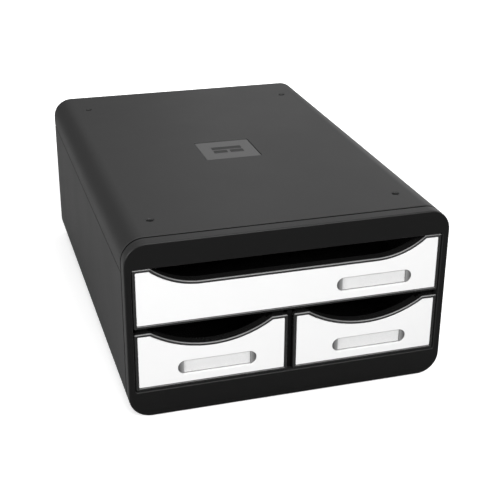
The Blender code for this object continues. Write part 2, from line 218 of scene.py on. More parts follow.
class Value:
    """One output of a node. Arithmetic on it adds Math nodes to its recipe."""

    def __init__(self, recipe, socket):
        self.recipe = recipe
        self.socket = socket

    def maths(self, operation, first, second=0.0):
        return self.recipe.node("ShaderNodeMath", {"operation": operation}, {0: first, 1: second})

    def __add__(self, other):
        return self.maths("ADD", self, other)

    def __radd__(self, other):
        return self.maths("ADD", other, self)

    def __sub__(self, other):
        return self.maths("SUBTRACT", self, other)

    def __rsub__(self, other):
        return self.maths("SUBTRACT", other, self)

    def __mul__(self, other):
        return self.maths("MULTIPLY", self, other)

    def __rmul__(self, other):
        return self.maths("MULTIPLY", other, self)

    def __gt__(self, other):
        return self.maths("GREATER_THAN", self, other)


def pick(sockets, key):
    """A socket by its number, its identifier or its name."""
    if isinstance(key, int):
        return sockets[key]
    for socket in sockets:
        if socket.identifier == key:
            return socket
    return sockets[key]


# %% A recipe for a material
EDGE_TURN = (0.02, 0.3)


class Recipe:
    """A material that is written down node by node."""

    def __init__(self, name):
        self.material = bpy.data.materials.new(name)
        self.material.use_nodes = True
        self.tree = self.material.node_tree
        self.tree.nodes.clear()

    def node(self, kind, settings=None, inputs=None, output=0):
        """Adds a node: its settings first, then its inputs as values or links. Returns one output."""
        made = self.tree.nodes.new(kind)
        for key, value in (settings or {}).items():
            setattr(made, key, value)
        for key, value in (inputs or {}).items():
            socket = pick(made.inputs, key)
            if isinstance(value, Value):
                self.tree.links.new(value.socket, socket)
            else:
                socket.default_value = value
        return Value(self, pick(made.outputs, output))

    def place(self):
        return self.node("ShaderNodeTexCoord", output="Object")

    def noise(self, size, detail=3.0, roughness=0.5, vector=None):
        """Cloudy values from 0 to 1, with patches about size metres across."""
        inputs = {"Vector": vector or self.place(), "Scale": 1 / size, "Detail": detail}
        inputs["Roughness"] = roughness
        return self.node("ShaderNodeTexNoise", {"noise_dimensions": "3D"}, inputs, "Fac")

    def spread(self, value, low, high):
        """Stretches the part of value between low and high to run from 0 to 1."""
        settings = {"interpolation_type": "SMOOTHSTEP"}
        return self.node("ShaderNodeMapRange", settings, {"Value": value, 1: low, 2: high})

    def mix(self, factor, first, second):
        inputs = {"Factor_Float": factor, "A_Color": first, "B_Color": second}
        return self.node("ShaderNodeMix", {"data_type": "RGBA"}, inputs, "Result_Color")

    def bump(self, height, depth, normal=None):
        """Bends the surface's normal as if it rose by height times depth metres."""
        inputs = {"Height": height, "Distance": depth, "Strength": 1.0}
        if normal:
            inputs["Normal"] = normal
        return self.node("ShaderNodeBump", None, inputs, "Normal")

    def worn_edges(self, reach):
        """1 on sharp edges and 0 on flat ground, from how a rounded normal differs from the true one."""
        rounded = self.node("ShaderNodeBevel", {"samples": 4}, {"Radius": reach}, "Normal")
        true = self.node("ShaderNodeNewGeometry", output="Normal")
        settings = {"operation": "DOT_PRODUCT"}
        both = self.node("ShaderNodeVectorMath", settings, {0: rounded, 1: true}, "Value")
        return self.spread(1 - both, *EDGE_TURN)

    def looks_along(self, direction, low, high):
        """1 on faces that look along a direction, and 0 on those that are turned away from it."""
        normal = self.node("ShaderNodeNewGeometry", output="True Normal")
        settings = {"operation": "DOT_PRODUCT"}
        share = self.node("ShaderNodeVectorMath", settings, {0: normal, 1: direction}, "Value")
        return self.spread(share, low, high)

    def finish(self, inputs):
        shader = self.node("ShaderNodeBsdfPrincipled", None, inputs, "BSDF")
        end = self.tree.nodes.new("ShaderNodeOutputMaterial")
        self.tree.links.new(shader.socket, end.inputs["Surface"])
        return self.material


def tone(level):
    """An opaque grey."""
    return (level, level, level, 1.0)


print("recipes ready")

# %% [markdown]
# ## Moulded plastic
#
# The casing is polystyrene from a mould whose steel was etched, which leaves a fine even grain. The grain
# scatters the light, so the plastic looks matt and a little paler than it is. Two sizes of noise make the
# bump: grains of about half a millimetre, and the long soft waves of a thin wall that shrank as it cooled.
# Handling polishes the edges, so there the tone is slightly lighter and the surface smoother.
# Two plastics also have painted light that depends on the way a face looks. The bezel's face is darker than
# its top and sides, which is painted shade.
# The trays' round edges between front and top are painted lighter, as a painted highlight.

# %% Moulded plastic recipe


FORWARD = (0, -1, 0)
FORWARD_AND_UP = (0, -0.707, 0.707)
CLOUD_SIZE = 60 * MM
GRAIN_SIZE = 0.55 * MM
SPECK_SIZE = 1.1 * MM
WAVE_SIZE = 35 * MM
WAVE_DEPTH = 0.02 * MM
WEAR_REACH = 0.7 * MM
WEAR_SHARE = 0.6


def moulded(name, level, rough, grain, specular, edge_level, unshaded_flank_level=None, painted_highlight_level=None):
    """Grained plastic. Given a level for the flanks, only the faces that look forward keep the darker level,
    which is painted shade. Given a level for a painted highlight, the round edges between front and top are
    painted as light as that."""
    recipe = Recipe(name)
    clouds = recipe.noise(CLOUD_SIZE, 4.0)
    grains = recipe.noise(GRAIN_SIZE, 2.0, 0.6)
    waves = recipe.noise(WAVE_SIZE, 1.0)
    specks = recipe.spread(recipe.noise(SPECK_SIZE, 1.0), 0.55, 0.75)
    edges = recipe.worn_edges(WEAR_REACH)
    base = recipe.mix(clouds, tone(level * 0.92), tone(level * 1.08))
    if unshaded_flank_level:
        # Faces that look forward keep the darker level: painted shade on the bezel's face.
        base = recipe.mix(recipe.looks_along(FORWARD, 0.6, 0.95), tone(unshaded_flank_level), base)
    if painted_highlight_level:
        # Round edges that look forward and up are painted lighter: a painted highlight.
        base = recipe.mix(recipe.looks_along(FORWARD_AND_UP, 0.75, 0.94), base, tone(painted_highlight_level))
    base = recipe.mix(specks * 0.12, base, tone(level * 1.6))
    base = recipe.mix(edges * WEAR_SHARE, base, tone(edge_level))
    roughness = rough + 0.08 * (clouds - 0.5) + 0.05 * (grains - 0.5) - 0.08 * edges
    height = grains * grain + waves * WAVE_DEPTH
    return recipe.finish({
        "Base Color": base,
        "Roughness": roughness,
        "Specular IOR Level": specular,
        "Normal": recipe.bump(height, 1.0),
    })


shell_plastic = moulded("charcoal_plastic", 0.022, 0.45, 0.012 * MM, 0.5, 0.045)
# The bezel's face is painted darker than its top and sides, as painted shade.
frame_plastic = moulded("bezel_plastic_with_painted_face_shade", 0.003, 0.36, 0.008 * MM, 0.22, 0.016, unshaded_flank_level=0.026)
# The trays' round edges between front and top get a painted highlight of 0.2.
tray_plastic = moulded("tray_plastic", 0.011, 0.27, 0.004 * MM, 0.5, 0.05, painted_highlight_level=0.2)
# Dark plastic, darkened further as painted shade, so that the shelves and divider look as deep as the shaded
# gap.
inner_plastic_darkened_as_shade = moulded("inner_plastic_darkened_as_shade", 0.004, 0.6, 0.008 * MM, 0.1, 0.006)
stop_plastic = moulded("stop_plastic", 0.05, 0.45, 0.006 * MM, 0.4, 0.08)
print("moulded plastics", len(bpy.data.materials))

# %% [markdown]
# ## White fronts, paper, windows and rubber
#
# The fronts are gloss polystyrene. A gloss moulding is never a mirror: its skin has a faint orange peel, and
# fingertips leave slightly duller patches. Paper is fibres, drawn out along the sheet. The windows are clear
# over the card and frosted at their two ends, so their alpha changes along an attribute of the mesh. The same
# attribute paints the frosted ends darker towards their tips, as painted shade.

# %% White gloss
PEEL_SIZE = 2.2 * MM
PEEL_DEPTH = 0.004 * MM
TOUCH_SIZE = 25 * MM


def white_gloss(name):
    recipe = Recipe(name)
    peel = recipe.noise(PEEL_SIZE, 1.0)
    clouds = recipe.noise(45 * MM, 3.0)
    touched = recipe.noise(TOUCH_SIZE, 2.0)
    edges = recipe.worn_edges(0.6 * MM)
    base = recipe.mix(clouds, tone(0.9), tone(0.93))
    base = recipe.mix(edges * 0.25, base, tone(0.85))
    return recipe.finish({
        "Base Color": base,
        "Roughness": 0.2 + 0.06 * touched + 0.03 * clouds,
        "Specular IOR Level": 0.5,
        "Normal": recipe.bump(peel, PEEL_DEPTH),
    })


front_white = white_gloss("white_gloss")
print(front_white.name)

# %% Paper
FIBRE_SIZE = 0.35 * MM
FIBRE_DEPTH = 0.02 * MM
ALONG_THE_SHEET = (0.3, 1.0, 1.0)


def card_paper(name):
    recipe = Recipe(name)
    inputs = {"Vector": recipe.place(), "Scale": ALONG_THE_SHEET}
    stretched = recipe.node("ShaderNodeMapping", {"vector_type": "POINT"}, inputs)
    fibres = recipe.noise(FIBRE_SIZE, 4.0, 0.7, stretched)
    mottle = recipe.noise(4 * MM, 3.0)
    base = recipe.mix(fibres, tone(0.8), tone(0.88))
    base = recipe.mix(mottle * 0.4, base, tone(0.83))
    return recipe.finish({
        "Base Color": base,
        "Roughness": 0.86 + 0.1 * fibres,
        "Specular IOR Level": 0.3,
        "Normal": recipe.bump(fibres, FIBRE_DEPTH),
    })


paper = card_paper("label_paper")
print(paper.name)

# %% Clear window
FROST_START = 0.02
CLEAR_ALPHA = 0.1
FROST_ALPHA = 0.85


def window_plastic(name):
    recipe = Recipe(name)
    end = recipe.node("ShaderNodeAttribute", {"attribute_name": "frost_and_shade"}, None, "Fac")
    frosted = end > FROST_START
    scuffs = recipe.spread(recipe.noise(3 * MM, 5.0, 0.7), 0.5, 0.8)
    # The frosted ends are painted darker towards their tips: painted shade.
    base = recipe.mix(end, tone(0.32), tone(0.06))
    base = recipe.mix(frosted, tone(0.8), base)
    return recipe.finish({
        "Base Color": base,
        "Roughness": 0.14 + 0.25 * frosted + 0.06 * scuffs,
        "Alpha": CLEAR_ALPHA + FROST_ALPHA * frosted + 0.02 * scuffs,
        "Specular IOR Level": 0.4,
        "Normal": recipe.bump(scuffs, 0.001 * MM),
    })


window_clear = window_plastic("window_plastic")
print(window_clear.name)

# %% Badge plastic


def badge_finish(name, mark_height):
    """Grey plate whose raised mark is stamped darker. The mark is what lies above mark_height."""
    recipe = Recipe(name)
    grains = recipe.noise(0.5 * MM, 2.0)
    clouds = recipe.noise(20 * MM, 3.0)
    edges = recipe.worn_edges(0.4 * MM)
    height = recipe.node("ShaderNodeSeparateXYZ", None, {"Vector": recipe.place()}, "Z")
    mark = height > mark_height
    plate = recipe.mix(clouds, tone(0.085), tone(0.095))
    base = recipe.mix(mark, plate, tone(0.02))
    base = recipe.mix(edges * 0.5, base, tone(0.13))
    return recipe.finish({
        "Base Color": base,
        "Roughness": 0.42 + 0.06 * (grains - 0.5) + 0.1 * mark,
        "Specular IOR Level": 0.5,
        "Normal": recipe.bump(grains, 0.006 * MM),
    })


# %% Rubber


def foot_rubber(name):
    recipe = Recipe(name)
    dust = recipe.spread(recipe.noise(1.5 * MM, 5.0, 0.7), 0.5, 0.75)
    pores = recipe.noise(0.3 * MM, 2.0)
    edges = recipe.worn_edges(0.5 * MM)
    base = recipe.mix(dust * 0.5, tone(0.02), tone(0.05))
    base = recipe.mix(edges * 0.5, base, tone(0.07))
    return recipe.finish({
        "Base Color": base,
        "Roughness": 0.8 + 0.15 * dust,
        "Specular IOR Level": 0.3,
        "Normal": recipe.bump(pores, 0.02 * MM),
    })


rubber = foot_rubber("rubber")
print(rubber.name)

# %% [markdown]
# ## Floor
#
# The camera sees a floor that is nearly white and that glows a little more with distance, so that it runs
# into the backdrop without a line. Rays that light the object or mirror in it meet a greyer floor: a white
# one would wash out the black bezel.

# %% Floor
GLOW = 0.5
GLOW_NEAR = 0.35
GLOW_FAR = 0.95


def pale_floor(name, seen_level, bounce_level):
    """A floor that is bright to the camera and greyer to the rays that light and mirror in the object."""
    recipe = Recipe(name)
    clouds = recipe.noise(400 * MM, 2.0)
    camera_ray = recipe.node("ShaderNodeLightPath", output="Is Camera Ray")
    seen = recipe.mix(clouds, tone(seen_level - 0.01), tone(seen_level))
    distance = recipe.node("ShaderNodeVectorMath", {"operation": "LENGTH"}, {0: recipe.place()}, "Value")
    far = recipe.spread(distance, GLOW_NEAR, GLOW_FAR)
    return recipe.finish({
        "Base Color": recipe.mix(camera_ray, tone(bounce_level), seen),
        "Roughness": 0.7 + 0.05 * clouds,
        "Specular IOR Level": 0.0,
        "Emission Color": recipe.mix((GLOW + far) * camera_ray, tone(0.0), tone(1.0)),
        "Emission Strength": 1.0,
    })


FLOOR_HALF = 6.0
floor_shape = bmesh.new()
corners = [(-1, -1), (1, -1), (1, 1), (-1, 1)]
floor_shape.faces.new([floor_shape.verts.new((x * FLOOR_HALF, y * FLOOR_HALF, 0)) for x, y in corners])
floor_mesh = bpy.data.meshes.new("floor")
floor_shape.to_mesh(floor_mesh)
floor_shape.free()
floor = bpy.data.objects.new("floor", floor_mesh)
bpy.context.scene.collection.objects.link(floor)
floor_mesh.materials.append(pale_floor("pale_floor", 0.96, 0.4))
floor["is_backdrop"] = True
print("floor", 2 * FLOOR_HALF, "m across")

# %% [markdown]
# ## Shapes with soft edges
#
# Every part here is a flat outline that is drawn out along one direction, as most moulded parts are. Two
# things make it look moulded and not cut from sheet: the outline's own corners are round, and the outline
# draws in by a quarter circle where it meets each end. A Bevel modifier could do the second, but it stumbles
# on the thousands of short edges that a round corner has. So the rounding is built in: `fillet` rounds the
# corners of an outline, `inset` draws it in, and `drawn_out` stacks the sections.
# A hole gets the opposite: its cutter flares out where it meets the surface, so the cut leaves a round edge.

# %% Outlines


def arc(cx, cz, radius, start, end, steps):
    """Points on a circle, between two angles in degrees."""
    found = []
    for i in range(steps + 1):
        angle = math.radians(start + (end - start) * i / steps)
        found.append((cx + radius * math.cos(angle), cz + radius * math.sin(angle)))
    return found


def fillet(points, radius, steps=5, sharper_than=20):
    """Rounds each corner that turns by more than some degrees, with a true arc."""
    found = []
    for i, point in enumerate(points):
        here = Vector(point)
        before = Vector(points[i - 1]) - here
        after = Vector(points[(i + 1) % len(points)]) - here
        turn = math.pi - before.angle(after)
        if math.degrees(turn) < sharper_than:
            found.append(point)
            continue
        longest = 0.45 * min(before.length, after.length)
        cut_back = min(radius * math.tan(turn / 2), longest)
        inward = (before.normalized() + after.normalized()).normalized()
        centre = here + inward * cut_back / math.sin(turn / 2)
        first = here + before.normalized() * cut_back - centre
        last = here + after.normalized() * cut_back - centre
        for j in range(steps + 1):
            along = turn * j / steps
            spoke = (first * math.sin(turn - along) + last * math.sin(along)) / math.sin(turn)
            found.append((centre.x + spoke.x, centre.y + spoke.y))
    return found


def turning(points):
    """Twice the outline's area, positive where it runs anticlockwise."""
    return sum(a[0] * b[1] - b[0] * a[1] for a, b in zip(points, points[1:] + points[:1]))


def inset(points, amount):
    """The outline drawn in by amount along every side, or let out where amount is negative."""
    side = 1 if turning(points) > 0 else -1
    found = []
    for i, point in enumerate(points):
        here = Vector(point)
        a = (here - Vector(points[i - 1])).normalized()
        b = (Vector(points[(i + 1) % len(points)]) - here).normalized()
        inward = Vector((-a.y - b.y, a.x + b.x)) * side
        inward = inward.normalized()
        stretch = 1 / max(0.3, inward.dot(Vector((-b.y, b.x)) * side))
        moved = here + inward * amount * stretch
        found.append((moved.x, moved.y))
    return found


def mirrored(points):
    """An open outline on the right, followed by its mirror image on the left."""
    return points + [(-x, z) for x, z in reversed(points)]


square = [(-1, -1), (1, -1), (1, 1), (-1, 1)]
print("a square turns", turning(square), "and inset gives", inset(square, 0.25)[0])

# %% Solids from outlines
ROUND_STEPS = 5


def put(point, at, axis):
    """A point of an outline, at a distance along the axis that the outline is drawn out on."""
    if axis == "Y":
        return (point[0], at, point[1])
    return (point[0], point[1], at)


def stack(sections, axis):
    """Closed solid through outlines that have equal numbers of points."""
    shape = bmesh.new()
    rings = [[shape.verts.new(put(p, at, axis)) for p in outline] for at, outline in sections]
    count = len(rings[0])
    for near, far in zip(rings, rings[1:]):
        for i in range(count):
            after = (i + 1) % count
            shape.faces.new((near[i], near[after], far[after], far[i]))
    shape.faces.new(rings[0])
    shape.faces.new(rings[-1])
    bmesh.ops.recalc_face_normals(shape, faces=shape.faces)
    return shape


def drawn_out(points, low, high, axis, low_round=0.0, high_round=0.0):
    """The outline drawn out from low to high, with each end's edge rounded."""
    sections = []
    for step in range(ROUND_STEPS + 1):
        angle = math.pi / 2 * step / ROUND_STEPS
        drop = low_round * (1 - math.sin(angle))
        sections.append((low + low_round * (1 - math.cos(angle)), inset(points, drop)))
        if not low_round:
            break
    for step in range(ROUND_STEPS + 1):
        angle = math.pi / 2 * step / ROUND_STEPS
        drop = high_round * (1 - math.cos(angle))
        sections.append((high - high_round * (1 - math.sin(angle)), inset(points, drop)))
        if not high_round:
            break
    return stack(sections, axis)


def flared(points, surface, end, axis, flare):
    """A cutter that enters at surface and runs to end. It widens by flare at the surface."""
    way = 1 if end > surface else -1
    sections = [(surface - way * 2 * flare, inset(points, -flare))]
    for step in range(ROUND_STEPS + 1):
        angle = math.pi / 2 * step / ROUND_STEPS
        depth = way * flare * (1 - math.cos(angle))
        sections.append((surface + depth, inset(points, flare * (math.sin(angle) - 1))))
    sections.append((end, points))
    return stack(sections, axis)


def block(low, high):
    """A plain box, for joining and cutting."""
    outline = [(low[0], low[1]), (high[0], low[1]), (high[0], high[1]), (low[0], high[1])]
    return stack([(low[2], outline), (high[2], outline)], "Z")


print("each rounded edge has", ROUND_STEPS, "steps")

# %% From shapes to pieces


def to_object(name, shape):
    """An object in the scene with the shape as its mesh."""
    mesh = bpy.data.meshes.new(name)
    shape.to_mesh(mesh)
    shape.free()
    obj = bpy.data.objects.new(name, mesh)
    bpy.context.scene.collection.objects.link(obj)
    return obj


def settle(obj):
    """Makes the modifiers' result the object's own mesh."""
    graph = bpy.context.evaluated_depsgraph_get()
    made = bpy.data.meshes.new_from_object(obj.evaluated_get(graph))
    old = obj.data
    obj.modifiers.clear()
    obj.data = made
    bpy.data.meshes.remove(old)
    made.name = obj.name


def combine(target, tool, operation):
    """Cuts tool out of target, or joins it on."""
    other = to_object("tool", tool) if isinstance(tool, bmesh.types.BMesh) else tool
    modifier = target.modifiers.new("boolean", "BOOLEAN")
    modifier.solver = "EXACT"
    modifier.operation = operation
    modifier.object = other
    settle(target)
    bpy.data.objects.remove(other)


def cut(target, tool):
    combine(target, tool, "DIFFERENCE")


def join(target, tool):
    combine(target, tool, "UNION")


SHARP_FROM = math.radians(40)


def finish_piece(obj, material, body, replaced):
    """Smooth shading that keeps flat faces flat, then the finish, the body and the nodes it stands for."""
    obj.data.shade_smooth()
    obj.data.set_sharp_from_angle(angle=SHARP_FROM)
    even = obj.modifiers.new("even normals", "WEIGHTED_NORMAL")
    even.keep_sharp = True
    settle(obj)
    obj.data.materials.clear()
    obj.data.materials.append(material)
    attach(obj, body)
    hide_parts(*replaced)
    print(obj.name, len(obj.data.polygons), "faces")


# %% [markdown]
# ## The casing
#
# Three mouldings make the box that stays put: a lower shell with the floor and the side walls, a cover whose
# skirts come down over it, and a bezel ring in front. Where two of them meet, both edges are round, and that
# leaves the thin dark groove that tells the eye that these are separate parts.

# %% Lower shell
EDGE = 0.8 * MM
SEAM_ROUND = 0.5 * MM
CORNER_STEPS = 20
LEDGE = 3 * MM
LEDGE_THICK = 2.2 * MM
RIB_HALF = 1.2 * MM
TONGUE = 1.5 * MM
TONGUE_RISE = 6 * MM
REAR_POCKET = 3.7 * MM
seam = cover_low.z - GAP


def casing_outline(drawn_in):
    """The casing's round-cornered section, drawn in by some distance."""
    half = half_width - drawn_in
    radius = CORNER - drawn_in
    low = bottom + drawn_in + radius
    high = top - drawn_in - radius
    points = arc(half - radius, low, radius, -90, 0, CORNER_STEPS)
    points += arc(half - radius, high, radius, 0, 90, CORNER_STEPS)
    return mirrored(points)


def shell_outline():
    """The lower shell's section, with its rib, its ledges and the tongue that locates the cover."""
    inner = half_width - WALL
    tongue = inner - GAP - TONGUE
    shelf_under = [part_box(name)[0].z - GAP for name in ("lower_shelf", "middle_shelf")]
    points = [(RIB_HALF, shelf_under[0]), (RIB_HALF, bottom + WALL)]
    points += arc(half_width - CORNER, bottom + CORNER, CORNER - WALL, -90, 0, CORNER_STEPS)
    for ledge in shelf_under:
        points += [(inner, ledge - LEDGE_THICK), (inner - LEDGE, ledge - LEDGE_THICK)]
        points += [(inner - LEDGE, ledge), (inner, ledge)]
    rise = seam + TONGUE_RISE
    points += [(inner, seam - TONGUE_RISE), (tongue, seam - TONGUE_RISE + TONGUE), (tongue, rise)]
    points += [(inner - GAP, rise), (inner - GAP, seam), (half_width, seam)]
    points += arc(half_width - CORNER, bottom + CORNER, CORNER, 0, -90, CORNER_STEPS)
    return mirrored(points)


SHELL_FILLET = 0.7 * MM
SHELL_END = 0.5 * MM
SEAT_FLARE = 0.3 * MM
STEM_HOLE = 2.8 * MM
section = fillet(shell_outline(), SHELL_FILLET, 4)
shell = to_object(
    "lower_shell",
    drawn_out(section, shell_low.y, shell_high.y, "Y", SHELL_END, SHELL_END),
)
rear_seat = casing_outline(WALL - REBATE)
cut(shell, flared(rear_seat, shell_high.y, shell_high.y - REAR_POCKET, "Y", SEAT_FLARE))
feet = ("front_left_foot", "front_right_foot", "rear_left_foot", "rear_right_foot")
for foot in feet:
    low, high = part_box(foot)
    middle = (low + high) / 2
    hole = arc(middle.x, middle.y, STEM_HOLE, 0, 345, 23)
    cut(shell, flared(hole, bottom, bottom + 2 * WALL, "Z", SEAT_FLARE))
finish_piece(shell, shell_plastic, "casing", ["casing_body"])

# %% Top cover
SOCKET_RADIUS = 2.8 * MM
SOCKET_FLARE = 0.9 * MM
BADGE_POCKET = 1.5 * MM
POCKET_CORNER = 1.2 * MM
POCKET_FLARE = 0.35 * MM


def cover_ring():
    """The cover's section: out along the top, and back along its inside."""
    outer = [(half_width, cover_low.z)]
    outer += arc(half_width - CORNER, top - CORNER, CORNER, 0, 90, CORNER_STEPS)
    inner = [(half_width - WALL, cover_low.z)]
    inner += arc(half_width - CORNER, top - CORNER, CORNER - WALL, 0, 90, CORNER_STEPS)
    return mirrored(outer) + list(reversed(mirrored(inner)))


cover = to_object(
    "lid",
    drawn_out(fillet(cover_ring(), EDGE, 4), cover_low.y, cover_high.y, "Y", SEAM_ROUND, SEAM_ROUND),
)
cut(cover, flared(rear_seat, cover_high.y, cover_high.y - REAR_POCKET, "Y", SEAT_FLARE))
badge_low, badge_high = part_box("badge_plate")
pocket = [(badge_low.x - GAP, badge_low.y - GAP), (badge_high.x + GAP, badge_low.y - GAP)]
pocket += [(badge_high.x + GAP, badge_high.y + GAP), (badge_low.x - GAP, badge_high.y + GAP)]
cut(cover, flared(fillet(pocket, POCKET_CORNER), top, top - BADGE_POCKET, "Z", POCKET_FLARE))
for foot in feet:
    low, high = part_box(foot)
    middle = (low + high) / 2
    socket = arc(middle.x, middle.y, SOCKET_RADIUS, 0, 350, 35)
    cut(cover, flared(socket, top, top - 2 * WALL, "Z", SOCKET_FLARE))
finish_piece(cover, shell_plastic, "casing", ["top_cover"])

# %% [markdown]
# ## The bezel
#
# The bezel is a deep ring. Its outer edge is rounded by over a millimetre, and the opening's edge by under
# one. The box section behind the face stays hollow, because plastic that is thick in one place sinks as it
# cools and leaves a dimple in the face.
# A fine groove sets it off from the casing: the ring steps in to a neck and comes out again in a thin collar.
# The collar's step looks forward, so it gets the face's painted shade, and the groove reads as a dark line.

# %% Bezel ring
FACE_ROUND = 1.3 * MM
FACE_THICK = 3 * MM
OPENING_HALF = 119.9 * MM
OPENING_LOW = 22.6 * MM
OPENING_HIGH = 122.4 * MM
OPENING_CORNER = 1.5 * MM
OPENING_ROUND = 0.7 * MM
LIP_SIDE = 3 * MM
LIP_RAIL = 2 * MM
LUG_WIDE = 8.5 * MM
LUG_THICK = 3 * MM
LUG_CLEAR = 0.5 * MM
LUG_ABOVE_TUB = 2 * MM
SINK = 0.6 * MM
SHADOW_GAP = 1.5 * MM
SHADOW_DEPTH = 0.9 * MM
COLLAR = 0.6 * MM
COLLAR_ROUND = 0.1 * MM
RING_BACK_ROUND = 0.3 * MM


def rectangle(x0, x1, z0, z1):
    """An outline from its four sides."""
    return [(x0, z0), (x1, z0), (x1, z1), (x0, z1)]


ring_back = frame_high.y - COLLAR - SHADOW_GAP
bezel = to_object(
    "bezel",
    drawn_out(casing_outline(0), frame_low.y, ring_back, "Y", FACE_ROUND, RING_BACK_ROUND),
)
neck = casing_outline(SHADOW_DEPTH)
join(bezel, stack([(frame_low.y + FACE_THICK, neck), (frame_high.y - COLLAR / 2, neck)], "Y"))
join(bezel, drawn_out(casing_outline(0), frame_high.y - COLLAR, frame_high.y, "Y", 0.0, COLLAR_ROUND))
cut(bezel, stack(
    [(frame_low.y + FACE_THICK, casing_outline(WALL)), (frame_high.y + WALL, casing_outline(WALL))], "Y",
))
side = OPENING_HALF + LIP_SIDE
join(bezel, block(
    (-side, frame_low.y + FACE_THICK - SINK, OPENING_LOW - LIP_RAIL),
    (side, frame_high.y, OPENING_HIGH + LIP_RAIL),
))
opening = fillet(rectangle(-OPENING_HALF, OPENING_HALF, OPENING_LOW, OPENING_HIGH), OPENING_CORNER)
cut(bezel, flared(opening, frame_low.y, frame_high.y + WALL, "Y", OPENING_ROUND))
tray_low, tray_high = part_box("upper_tray")
behind_fronts = tray_low.y + FRONT_THICK + LUG_CLEAR
tub_top = tray_low.z + TUB_RISE + TUB_HEIGHT
lug_edge = tray_high.x - TUB_INSET
for x in (-lug_edge, lug_edge - LUG_WIDE):
    join(bezel, block(
        (x, behind_fronts, tub_top + LUG_ABOVE_TUB),
        (x + LUG_WIDE, behind_fronts + LUG_THICK, OPENING_HIGH + SINK),
    ))
finish_piece(bezel, frame_plastic, "casing", ["front_frame"])

# %% [markdown]
# ## Back, badge and feet
#
# The back is a flat panel that sits in a shallow seat. The badge is a small plate in its own pocket. It
# carries a plain picture of the unit, one wide bar over two short ones, raised by a third of a millimetre.
# The four feet are the same turned shape, so Geometry Nodes set them out: the tree takes one foot and two
# spacings, puts the foot on the corners of a rectangle and makes the copies real.

# %% Rear panel
REAR_FRONT_ROUND = 0.2 * MM
REAR_BACK_ROUND = 0.6 * MM
rear_low, rear_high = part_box("rear_panel")
rear = to_object(
    "back_panel",
    drawn_out(
        casing_outline(WALL - REBATE + GAP), rear_low.y, rear_high.y, "Y", REAR_FRONT_ROUND, REAR_BACK_ROUND,
    ),
)
finish_piece(rear, shell_plastic, "casing", ["rear_panel"])

# %% Badge
MARK_HALF = 13 * MM
MARK_BAR = 6 * MM
MARK_GAP = 2.4 * MM
MARK_RISE = 0.3 * MM
MARK_SINK = 0.2 * MM
MARK_CORNER = 0.8 * MM
MARK_ROUND = 0.15 * MM
PLATE_CORNER = 1.0 * MM
PLATE_ROUND = 0.25 * MM
plate_top = badge_high.z - MARK_RISE
badge_middle = (badge_low + badge_high) / 2
plate = fillet(rectangle(badge_low.x, badge_high.x, badge_low.y, badge_high.y), PLATE_CORNER)
badge = to_object("badge", drawn_out(plate, badge_low.z, plate_top, "Z", 0, PLATE_ROUND))
bars = [
    (-MARK_HALF, MARK_HALF, MARK_GAP / 2, MARK_GAP / 2 + MARK_BAR),
    (-MARK_HALF, -MARK_GAP / 2, -MARK_GAP / 2 - MARK_BAR, -MARK_GAP / 2),
    (MARK_GAP / 2, MARK_HALF, -MARK_GAP / 2 - MARK_BAR, -MARK_GAP / 2),
]
for x0, x1, y0, y1 in bars:
    bar = fillet(rectangle(x0, x1, badge_middle.y + y0, badge_middle.y + y1), MARK_CORNER)
    join(badge, drawn_out(bar, badge_low.z + MARK_SINK, badge_high.z, "Z", 0, MARK_ROUND))
badge_plastic = badge_finish("badge_plastic", plate_top + MARK_RISE / 2)
finish_piece(badge, badge_plastic, "casing", ["badge_plate"])

# %% One foot
FOOT_RADIUS = 7 * MM
FOOT_TAPER = 0.5 * MM
STEM_RADIUS = 2.5 * MM
HEAD_RADIUS = 4 * MM
FOOT_STEPS = 40
FOOT_ROUND = 0.3 * MM


def turned(profile, steps):
    """Turns (radius, z) points, which start and end on the axis, round that axis."""
    shape = bmesh.new()
    points = [shape.verts.new((radius, 0, z)) for radius, z in profile]
    edges = [shape.edges.new(pair) for pair in zip(points, points[1:])]
    bmesh.ops.spin(
        shape, geom=points + edges, cent=(0, 0, 0), axis=(0, 0, 1),
        angle=math.tau, steps=steps, use_merge=True,
    )
    bmesh.ops.remove_doubles(shape, verts=shape.verts, dist=0.005 * MM)
    bmesh.ops.recalc_face_normals(shape, faces=shape.faces)
    return shape


foot_low, foot_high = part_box("front_left_foot")
pad_top = bottom - GAP
head_low = bottom + WALL + GAP
foot_profile = [(0, 0), (FOOT_RADIUS - FOOT_TAPER, 0)]
foot_profile += arc(FOOT_RADIUS - FOOT_TAPER, FOOT_ROUND, FOOT_ROUND, -60, 0, 3)
foot_profile += arc(FOOT_RADIUS - FOOT_ROUND, pad_top - FOOT_ROUND, FOOT_ROUND, 0, 90, 4)
foot_profile += [(STEM_RADIUS, pad_top), (STEM_RADIUS, head_low), (HEAD_RADIUS, head_low)]
foot_profile += [(HEAD_RADIUS - 0.2 * MM, head_low + 0.4 * MM), (STEM_RADIUS, foot_high.z), (0, foot_high.z)]
foot_seed = to_object("foot_seed", turned(foot_profile, FOOT_STEPS))
print("one foot is", round(foot_seed.dimensions.x / MM, 1), "mm across")

# %% Set out the feet with Geometry Nodes


def new_tree(name, floats):
    """An empty Geometry Nodes tree with a geometry input and the named number inputs."""
    tree = bpy.data.node_groups.new(name, "GeometryNodeTree")
    tree.interface.new_socket("Geometry", in_out="INPUT", socket_type="NodeSocketGeometry")
    for label, value in floats.items():
        socket = tree.interface.new_socket(label, in_out="INPUT", socket_type="NodeSocketFloat")
        socket.default_value = value
    tree.interface.new_socket("Geometry", in_out="OUTPUT", socket_type="NodeSocketGeometry")
    return tree


